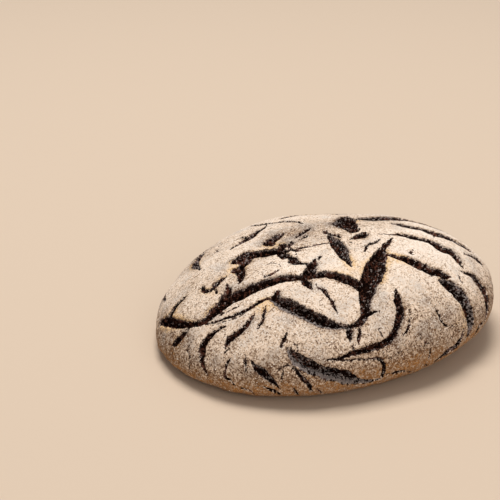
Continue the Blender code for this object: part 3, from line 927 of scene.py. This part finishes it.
@dataclass
class Loaf:
    """The whole loaf as one closed mesh: crust with its tears, rolled edge and flat base.

    Attributes:
        form: The form that the map is lifted onto.
        tears: The fissures.
    """

    form: LoafForm
    tears: FissureMap
    ring_step: float = 3.0
    fine_edge: float = 0.87           # longest edge at a fissure's edge
    floor_edge: float = 1.3           # longest edge on a fissure's floor
    lip_height: float = 0.3
    sag_share: float = 0.09           # how far a plate's edge sags, over the width of the fissure
    undercut: float = 0.9
    base_rings: tuple[int, ...] = (144, 72, 36, 12)
    # Patches of thinner flour, as (along, across, radius, loss).  The ones at the left end and over the upper left
    # are partly painted shade: they darken the crust there for a cast shadow as well as for thin flour.
    thin_flour_and_shade: tuple[tuple[float, float, float, float], ...] = (
        (-75, -118, 26, 0.17), (72, -104, 34, 0.50), (92, -78, 16, 0.30), (10, -134, 34, 0.36),
        (-20, -104, 30, 0.12), (-112, -76, 26, 0.70), (120, -50, 26, 0.30), (-96, 30, 30, 0.35),
        (20, 124, 36, 0.50), (96, 84, 26, 0.45), (-16, 12, 24, 0.70), (30, 34, 26, 0.40),
        (-64, -34, 18, 0.35), (60, -18, 26, -0.12), (66, 10, 20, -0.10), (70, 36, 16, -0.10),
        (20, -22, 16, 0.10), (-50, -134, 30, 0.30), (126, -18, 20, 0.36), (-60, -86, 26, 0.12),
        (-138, -48, 20, 0.55), (-100, -30, 18, 0.25),
    )
    # Golden patches, as (along, across, radius, strength).  The ones over the upper left and at the left end are
    # partly painted shade: the toasted colour there also stands for a cast shadow.
    golden: tuple[tuple[float, float, float, float], ...] = (
        (24, -48, 14, 1.1), (49, -37, 13, 1.5), (44, -62, 10, 1.0), (10, -52, 12, 0.6), (-40, -76, 9, 1.1),
        (-85, -52, 18, 0.9), (-60, -22, 16, 0.9), (-36, -2, 14, 0.8), (104, -70, 12, 0.9), (24, 30, 10, 0.8),
        (-112, -50, 16, 0.9), (86, -46, 8, 0.6), (-96, 10, 20, 0.7), (0, 76, 30, 0.6), (100, 60, 20, 0.7),
    )

    def build(self) -> bpy.types.Object:
        """Builds the mesh, its values and its finishes."""
        lattice = self._lattice()
        places = lattice.places
        points, gap, flank = self._lift(places)
        triangles, base_points = self._close(lattice, points)
        LOG.info("loaf: %d triangles on the crust, %d in all", len(lattice.triangles), len(triangles))
        everything = np.vstack([points, base_points])
        mesh = bpy.data.meshes.new("rye_loaf")
        mesh.from_pydata([], [], [])
        mesh.vertices.add(len(everything))
        mesh.vertices.foreach_set("co", (everything * MM).ravel())
        mesh.loops.add(triangles.size)
        mesh.loops.foreach_set("vertex_index", triangles.ravel().astype(np.int32))
        mesh.polygons.add(len(triangles))
        mesh.polygons.foreach_set("loop_start", (3 * np.arange(len(triangles))).astype(np.int32))
        mesh.polygons.foreach_set("loop_total", np.full(len(triangles), 3, np.int32))
        mesh.update(calc_edges=True)
        crust_count = len(lattice.triangles)
        middle_gap = gap[lattice.triangles].mean(axis=1)
        slots = np.full(len(triangles), 2, np.int32)
        slots[:crust_count] = np.where(middle_gap < -0.15, 1, 0)
        mesh.polygons.foreach_set("material_index", slots)
        mesh.polygons.foreach_set("use_smooth", np.ones(len(triangles), bool))
        extra = len(base_points)
        self._carry(mesh, "gap", np.concatenate([gap, np.full(extra, 9.0)]))
        self._carry(mesh, "flour", np.concatenate([self._flour(places), np.zeros(extra)]))
        fringe = np.exp(-np.maximum(-gap, 0) / 0.8) * smoothstep(2.0, 6.0, self.tears.read(self.tears.lip, places))
        self._carry(mesh, "fringe", np.concatenate([fringe, np.zeros(extra)]))
        self._carry(mesh, "dust", np.concatenate([self._dust(places, gap, flank), np.zeros(extra)]))
        length = np.hypot(*places.T)
        rim = smoothstep(self.form.rim_length - 22, self.form.rim_length + 10, length)
        self._carry(mesh, "rim", np.concatenate([rim, np.ones(extra)]))
        self._carry(mesh, "toast", np.concatenate([self._toast_and_shade(places, gap), np.zeros(extra)]))
        self._carry(mesh, "floor", np.concatenate([smoothstep(0.6, 1.4, -gap), np.zeros(extra)]))
        self._carry(mesh, "skin", np.concatenate([smoothstep(0.4, 1.2, gap) * (1 - rim), np.zeros(extra)]))
        self._unwrap(mesh, np.vstack([places, base_points[:, :2]]), triangles, crust_count)
        for finish in (FLOURED_CRUST, TORN_CRUMB, BAKED_BASE):
            mesh.materials.append(finish.build())
        piece = bpy.data.objects.new("rye_loaf", mesh)
        bpy.context.scene.collection.objects.link(piece)
        return piece

    def _lattice(self) -> Lattice:
        """Flat mesh of the crust's map, fine along the fissures."""
        radius = self.form.base_length
        lattice = Lattice.disc(radius, round(radius / self.ring_step))

        def longest(middles: np.ndarray) -> np.ndarray:
            """Longest edge wanted at places of the map."""
            gap = self.tears.read(self.tears.gap, middles)
            beside = self.fine_edge + 0.5 * np.maximum(gap - 1.0, 0)
            inside = np.minimum(self.fine_edge + 0.5 * np.maximum(-gap - 1.2, 0), self.floor_edge)
            wanted = np.where(gap < 0, inside, beside)
            return np.where(np.hypot(*middles.T) > radius - 3, 99.0, wanted)

        for _ in range(3):
            lattice.refine(longest)
        lattice.relax(3)
        for _ in range(2):
            gap = self.tears.read(self.tears.gap, lattice.places)
            away = self.tears.read(self.tears.away, lattice.places)
            near = np.abs(gap) < 0.3
            lattice.places[near] -= (gap[:, None] * away)[near] * 0.8
        return lattice

    def _lift(self, places: np.ndarray) -> tuple[np.ndarray, np.ndarray, np.ndarray]:
        """Places of the map on the torn, uneven loaf.

        Args:
            places: Rows of (along, across).

        Returns:
            The points, the distance to the nearest fissure's edge, and the place across the fissure.
        """
        tears = self.tears
        gap, flank = tears.read(tears.gap, places), tears.read(tears.flank, places)
        width, lip, depth = (tears.read(grid, places) for grid in (tears.width, tears.lip, tears.depth))
        away = tears.read(tears.away, places)
        east, north, normal = self.form.frames(places)
        ground = self.form.points(places)
        roll = smoothstep(self.form.base_length - 2, self.form.base_length - 22, np.hypot(*places.T))
        grain = Grain(seed=5)
        relief = 0.9 * grain(ground, 34.0) + 0.35 * grain(ground + 40, 12.0) + 0.12 * grain(ground, 4.0, octaves=2)
        relief += 0.5 * grain(ground + 80, 9.0) * smoothstep(100.0, 140.0, np.hypot(*places.T))
        skin = np.maximum(gap, 0)
        strength = smoothstep(1.0, 8.0, lip)
        sag = -self.sag_share * np.minimum(lip, 9.0) * np.exp(-skin / 4.5)
        curl = self.lip_height * strength * bump_at(1.2, 1.1, skin) - 0.2 * np.exp(-skin / 0.4)
        inner = np.maximum(-gap, 0)
        gentle = tears.read(tears.dusted, places) * smoothstep(0.0, 0.8, flank)
        reach = (0.25 + 0.10 * width) * (1 + 1.8 * np.maximum(gentle - 0.3, 0))
        wall = 1 - np.exp(-(inner / reach) ** 1.2)
        slope = 1 - 0.6 * smoothstep(-0.35, 0.9, flank)
        floor = 0.9 * np.abs(grain(ground + 7, 3.0, octaves=2)) + 0.5 * grain(ground, 2.0, octaves=2)
        cut = -depth * wall * slope + floor * smoothstep(0.3, 1.6, inner) * np.minimum(width / 6, 1)
        height = relief + np.where(gap < 0, sag + cut - 0.2, sag + curl)
        under = self.undercut * np.where(flank < 0, 1.0, 0.35) * smoothstep(1.5, 7.0, width)
        shift = under * (inner / 0.7) * np.exp(1 - inner / 0.7) * (gap < 0)
        across = (east * away[:, :1] + north * away[:, 1:]) * shift[:, None]
        points = ground + (normal * height[:, None] + across) * roll[:, None]
        points[:, 2] = np.maximum(points[:, 2], 0.0)
        return points, gap, flank

    def _close(self, lattice: Lattice, points: np.ndarray) -> tuple[np.ndarray, np.ndarray]:
        """Adds the flat base.

        Args:
            lattice: The crust's map.
            points: The crust's points.

        Returns:
            All triangles, and the base's own points.
        """
        loop = lattice.rim()
        outline = points[loop]
        start = len(points)
        parts, fresh = [lattice.triangles], []
        outer = loop
        bearings = np.arctan2(outline[:, 1], outline[:, 0])
        order = np.argsort(bearings)
        reach = np.hypot(outline[:, 0], outline[:, 1])[order]
        for ring, count in enumerate(self.base_rings):
            share = 1 - (ring + 1) / (len(self.base_rings) + 0.5)
            angles = -np.pi + 2 * np.pi * np.arange(count) / count
            radius = np.interp(angles, bearings[order], reach, period=2 * np.pi) * share
            rows = np.stack([radius * np.cos(angles), radius * np.sin(angles), np.full(count, 0.0)], axis=1)
            inner = start + sum(len(r) for r in fresh) + np.arange(count)
            parts.append(self._stitch(outer, inner))
            fresh.append(rows)
            outer = inner
        centre = start + sum(len(r) for r in fresh)
        fresh.append(np.zeros((1, 3)))
        after = np.roll(outer, -1)
        parts.append(np.stack([outer, np.full(len(outer), centre), after], axis=1))
        return np.vstack(parts), np.vstack(fresh)

    @staticmethod
    def _stitch(outer: np.ndarray, inner: np.ndarray) -> np.ndarray:
        """Triangles between two closed rings of vertices that start at the same bearing, facing down."""
        triangles = []
        i = j = 0
        while i < len(outer) or j < len(inner):
            here, there = outer[i % len(outer)], inner[j % len(inner)]
            if j >= len(inner) or (i < len(outer) and (i + 1) / len(outer) <= (j + 1) / len(inner)):
                triangles.append((here, there, outer[(i + 1) % len(outer)]))
                i += 1
            else:
                triangles.append((here, there, inner[(j + 1) % len(inner)]))
                j += 1
        return np.array(triangles)

    def _flour(self, places: np.ndarray) -> np.ndarray:
        """How thickly the flour lies, from 0 to 1; at the left end and over the upper left the thin patches are
        partly painted shade.
        """
        length = np.hypot(*places.T)
        amount = np.full(len(places), 1.15)
        for along, across, radius, loss in self.thin_flour_and_shade:
            amount -= loss * np.exp(-((places[:, 0] - along) ** 2 + (places[:, 1] - across) ** 2) / radius ** 2)
        grain = Grain(seed=23)
        amount += 0.10 * grain(places, 30.0) + 0.08 * grain(places, 11.0)
        gap, flank = self.tears.read(self.tears.gap, places), self.tears.read(self.tears.flank, places)
        amount -= 0.1 * np.exp(-np.maximum(gap, 0) / 0.9)
        wide = smoothstep(1.0, 6.0, self.tears.read(self.tears.lip, places))
        amount -= 0.65 * wide * np.exp(-np.maximum(gap, 0) / 2.0) * (flank > 0)
        return amount * smoothstep(self.form.rim_length + 14, self.form.rim_length - 26, length)

    def _toast_and_shade(self, places: np.ndarray, gap: np.ndarray) -> np.ndarray:
        """How golden the skin toasted where it lost its flour beside a tear, from 0 to 1; over the upper left and at
        the left end it is partly painted shade.
        """
        amount = np.zeros(len(places))
        for along, across, radius, strength in self.golden:
            amount += strength * np.exp(-((places[:, 0] - along) ** 2 + (places[:, 1] - across) ** 2) / radius ** 2)
        return amount * np.exp(-np.maximum(gap, 0) / 5.0)

    def _dust(self, places: np.ndarray, gap: np.ndarray, flank: np.ndarray) -> np.ndarray:
        """Flour in the fissures, most of it on their outer flanks, from 0 to 1."""
        grain = Grain(seed=31)
        side = 0.4 + 0.6 * smoothstep(-0.4, 0.5, flank + 0.3 * grain(places, 7.0))
        return self.tears.read(self.tears.dusted, places) * side * smoothstep(0.1, 0.8, -gap)

    @staticmethod
    def _carry(mesh: bpy.types.Mesh, name: str, values: np.ndarray) -> None:
        """Stores one value for each vertex."""
        attribute = mesh.attributes.new(name, "FLOAT", "POINT")
        attribute.data.foreach_set("value", values.astype(np.float32))

    def _unwrap(self, mesh: bpy.types.Mesh, flat: np.ndarray, triangles: np.ndarray, crust_count: int) -> None:
        """Lays the crust's map and the base side by side, so that a texture can be baked on the loaf."""
        reach = self.form.base_length
        side = 2.28 * reach
        flat_map = flat[triangles].astype(float)
        crust, base = flat_map[:crust_count], flat_map[crust_count:]
        corner = np.array([side - 0.32 * reach, side - 0.32 * reach])
        base_points = mesh_points(mesh)[triangles[crust_count:]][..., :2] / MM
        base[...] = base_points * [-0.28, 0.28] + corner
        crust[...] = crust + 1.01 * reach
        layer = mesh.uv_layers.new(name="OFBake")
        layer.data.foreach_set("uv", (flat_map / side).reshape(-1).astype(np.float32))


def mesh_points(mesh: bpy.types.Mesh) -> np.ndarray:
    """Every vertex of a mesh, as rows of x, y and z."""
    points = np.empty(3 * len(mesh.vertices), np.float32)
    mesh.vertices.foreach_get("co", points)
    return points.reshape(-1, 3)


@dataclass(frozen=True)
class Scatter:
    """Many small lumps of one kind, strewn over the part of the loaf where the mesh carries a mask.

    Attributes:
        name: Name of the piece.
        mask: Name of the value that says where the lumps lie, from 0 to 1.
        density: Lumps on each square centimetre where the mask is 1.
        size: Radius of a middling lump, in millimetres.
        spread: How much larger and smaller they get, as a share of that radius.
        flatness: Height of a lump over its width.
        sink: How far a lump's middle lies under the surface, in radii.
        roughness: How far a lump's skin is pushed about, in radii.
        seed: Fixes the pattern.
    """

    name: str
    mask: str
    density: float
    size: float
    spread: float
    flatness: float
    sink: float
    roughness: float
    seed: int

    def build(self, ground: bpy.types.Object, material: bpy.types.Material) -> bpy.types.Object:
        """Strews the lumps and turns them into a plain mesh.

        Args:
            ground: The loaf, whose surface they lie on.
            material: The lumps' material.

        Returns:
            The new piece.
        """
        carrier = bpy.data.objects.new(self.name, ground.data.copy())
        bpy.context.scene.collection.objects.link(carrier)
        modifier = carrier.modifiers.new("strew", "NODES")
        modifier.node_group = self._tree(material)
        values = {"Density": self.density * 1e4, "Size": self.size * MM, "Spread": self.spread,
                  "Flatness": self.flatness, "Sink": self.sink, "Roughness": self.roughness, "Seed": self.seed}
        for item in modifier.node_group.interface.items_tree:
            if item.in_out == "INPUT" and item.name in values:
                modifier[item.identifier] = values[item.name]
        graph = bpy.context.evaluated_depsgraph_get()
        mesh = bpy.data.meshes.new_from_object(carrier.evaluated_get(graph), depsgraph=graph)
        bpy.data.objects.remove(carrier)
        mesh.name = self.name
        piece = bpy.data.objects.new(self.name, mesh)
        bpy.context.scene.collection.objects.link(piece)
        LOG.info("%s: %d faces", self.name, len(mesh.polygons))
        return piece

    def _tree(self, material: bpy.types.Material) -> bpy.types.NodeTree:
        """The geometry tree, with its sizes as named inputs."""
        tree = bpy.data.node_groups.new(f"strew_{self.name}", "GeometryNodeTree")
        tree.interface.new_socket("Geometry", in_out="INPUT", socket_type="NodeSocketGeometry")
        for label in ("Density", "Size", "Spread", "Flatness", "Sink", "Roughness"):
            tree.interface.new_socket(label, in_out="INPUT", socket_type="NodeSocketFloat")
        tree.interface.new_socket("Seed", in_out="INPUT", socket_type="NodeSocketInt")
        tree.interface.new_socket("Geometry", in_out="OUTPUT", socket_type="NodeSocketGeometry")
        given = add_node(tree, "NodeGroupInput").outputs

        def calc(operation: str, first, second) -> bpy.types.NodeSocket:
            """Arithmetic on two values."""
            return add_node(tree, "ShaderNodeMath", {0: first, 1: second}, operation=operation).outputs[0]

        def chance(low, high, seed: int) -> bpy.types.NodeSocket:
            """A random value for each lump."""
            return add_node(tree, "FunctionNodeRandomValue", {2: low, 3: high, "Seed": seed},
                            data_type="FLOAT").outputs[1]

        mask = add_node(tree, "GeometryNodeInputNamedAttribute", {"Name": self.mask}, data_type="FLOAT")
        thick = calc("MULTIPLY", given["Density"], mask.outputs["Attribute"])
        strewn = add_node(tree, "GeometryNodeDistributePointsOnFaces",
                          {"Mesh": given["Geometry"], "Density": thick, "Seed": given["Seed"]})
        depth = calc("MULTIPLY", calc("MULTIPLY", given["Size"], given["Sink"]), -1.0)
        down = add_node(tree, "ShaderNodeVectorMath", {0: strewn.outputs["Normal"], "Scale": depth},
                        operation="SCALE").outputs["Vector"]
        sunk = add_node(tree, "GeometryNodeSetPosition", {"Geometry": strewn.outputs["Points"], "Offset": down})
        lump = add_node(tree, "GeometryNodeMeshIcoSphere", {"Radius": given["Size"], "Subdivisions": 1})
        turn = add_node(tree, "ShaderNodeCombineXYZ", {"Z": chance(0.0, 2 * math.pi, 3)}).outputs[0]
        spin = add_node(tree, "FunctionNodeEulerToRotation", {0: turn}).outputs[0]
        facing = add_node(tree, "FunctionNodeRotateRotation", {0: strewn.outputs["Rotation"], 1: spin},
                          rotation_space="LOCAL").outputs[0]
        low, high = calc("SUBTRACT", 1.0, given["Spread"]), calc("ADD", 1.0, given["Spread"])
        long, wide = chance(low, high, 4), chance(low, high, 5)
        tall = calc("MULTIPLY", calc("MULTIPLY", long, given["Flatness"]), chance(0.7, 1.3, 6))
        scale = add_node(tree, "ShaderNodeCombineXYZ", {"X": long, "Y": wide, "Z": tall}).outputs[0]
        toned = add_node(tree, "GeometryNodeStoreNamedAttribute",
                         {"Geometry": sunk.outputs[0], "Name": "tone", "Value": chance(0.0, 1.0, 7)},
                         data_type="FLOAT", domain="POINT")
        placed = add_node(tree, "GeometryNodeInstanceOnPoints",
                          {"Points": toned.outputs[0], "Instance": lump.outputs["Mesh"], "Rotation": facing,
                           "Scale": scale})
        real = add_node(tree, "GeometryNodeRealizeInstances", {"Geometry": placed.outputs[0]})
        wobble = add_node(tree, "ShaderNodeTexNoise", {"Scale": 0.5 / (self.size * MM), "Detail": 1.0})
        centred = add_node(tree, "ShaderNodeVectorMath", {0: wobble.outputs["Color"], 1: (0.5, 0.5, 0.5)},
                           operation="SUBTRACT").outputs["Vector"]
        reach = calc("MULTIPLY", calc("MULTIPLY", given["Size"], given["Roughness"]), 4.0)
        push = add_node(tree, "ShaderNodeVectorMath", {0: centred, "Scale": reach}, operation="SCALE")
        uneven = add_node(tree, "GeometryNodeSetPosition", {"Geometry": real.outputs[0],
                                                            "Offset": push.outputs["Vector"]})
        smooth = add_node(tree, "GeometryNodeSetShadeSmooth", {"Geometry": uneven.outputs[0]})
        dressed = add_node(tree, "GeometryNodeSetMaterial", {"Geometry": smooth.outputs[0], "Material": material})
        add_node(tree, "NodeGroupOutput", {0: dressed.outputs[0]})
        return tree


# ---------------------------------------------------------------------------------------------------
# The studio
# ---------------------------------------------------------------------------------------------------

@dataclass
class Studio:
    """Pale floor, soft light and the camera."""

    floor_colour: str = "CDBBA7"
    camera_height: float = math.radians(24.0)
    camera_distance: float = 0.95
    lens: float = 89.0
    look_at: tuple[float, float, float] = (-0.0514, 0.0677, 0.030)

    def build(self) -> None:
        """Builds the floor, the lights and the camera."""
        self._floor()
        self._light("key", (-0.2, 0.6, 2.9), 1.5, 84.0, "FFFAF5")
        self._light("fill", (0.9, -2.4, 1.0), 2.2, 24.0, "FFF4EA")
        world = bpy.data.worlds.new("soft_room")
        world.use_nodes = True
        world.node_tree.nodes["Background"].inputs["Color"].default_value = linear("D8D6D6")
        world.node_tree.nodes["Background"].inputs["Strength"].default_value = 0.45
        bpy.context.scene.world = world
        bpy.context.scene.view_settings.view_transform = "Standard"
        self._camera()

    def _floor(self) -> None:
        """A wide plain floor."""
        material, tree, shader = new_material("pale_matt_floor")
        shader.inputs["Base Color"].default_value = linear(self.floor_colour)
        shader.inputs["Roughness"].default_value = 0.9
        mesh = bpy.data.meshes.new("studio_floor")
        reach = 20.0
        mesh.from_pydata([(-reach, -reach, 0), (reach, -reach, 0), (reach, reach, 0), (-reach, reach, 0)], [],
                         [(0, 1, 2, 3)])
        mesh.materials.append(material)
        floor = bpy.data.objects.new("studio_floor", mesh)
        bpy.context.scene.collection.objects.link(floor)

    def _light(self, name: str, spot: tuple[float, float, float], side: float, power: float, colour: str) -> None:
        """A square soft light that faces the loaf."""
        lamp = bpy.data.lights.new(name, "AREA")
        lamp.size = side
        lamp.energy = power
        lamp.color = linear(colour)[:3]
        light = bpy.data.objects.new(name, lamp)
        light.location = spot
        light.rotation_euler = (Vector((0, 0, 0.03)) - Vector(spot)).to_track_quat("-Z", "Y").to_euler()
        bpy.context.scene.collection.objects.link(light)

    def _camera(self) -> None:
        """The camera, at the height and distance that such a loaf is looked at on a table."""
        lens = bpy.data.cameras.new("camera")
        lens.lens = self.lens
        lens.sensor_width = 36.0
        camera = bpy.data.objects.new("camera", lens)
        back = Vector((0, -math.cos(self.camera_height), math.sin(self.camera_height)))
        camera.location = Vector(self.look_at) + back * self.camera_distance
        camera.rotation_euler = (-back).to_track_quat("-Z", "Y").to_euler()
        bpy.context.scene.collection.objects.link(camera)
        bpy.context.scene.camera = camera


def main() -> None:
    """Builds the studio and the loaf, and ties every piece to the frame."""
    logging.basicConfig(level=logging.INFO, format="%(name)s: %(message)s")
    Studio().build()
    low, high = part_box(NODE)
    form = LoafForm(Vector(low) / MM, Vector(high) / MM)
    LOG.info("form: mean radius %.1f mm, rim at %.1f, base at %.1f", form.radius, form.rim_length, form.base_length)
    tears = FissureMap(reach=form.base_length + 4)
    loaf = Loaf(form, tears).build()
    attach(loaf, BODY)
    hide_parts(NODE)
    strewn = (
        (Scatter("torn_rags", "floor", 40.0, 0.85, 0.5, 0.8, 0.15, 0.35, seed=7), TORN_RAGS, "torn_crumb"),
        (Scatter("fallen_flour", "dust", 34.0, 0.36, 0.4, 0.7, 0.0, 0.3, seed=8), FALLEN_FLOUR, "rye_flour"),
        (Scatter("flour_clumps", "skin", 9.0, 0.42, 0.4, 0.6, 0.25, 0.3, seed=9), CLUMPED_FLOUR, "rye_flour"),
    )
    for lumps, finish, slot in strewn:
        piece = lumps.build(loaf, finish.build())
        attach(piece, BODY)


if __name__ == "__main__":
    main()
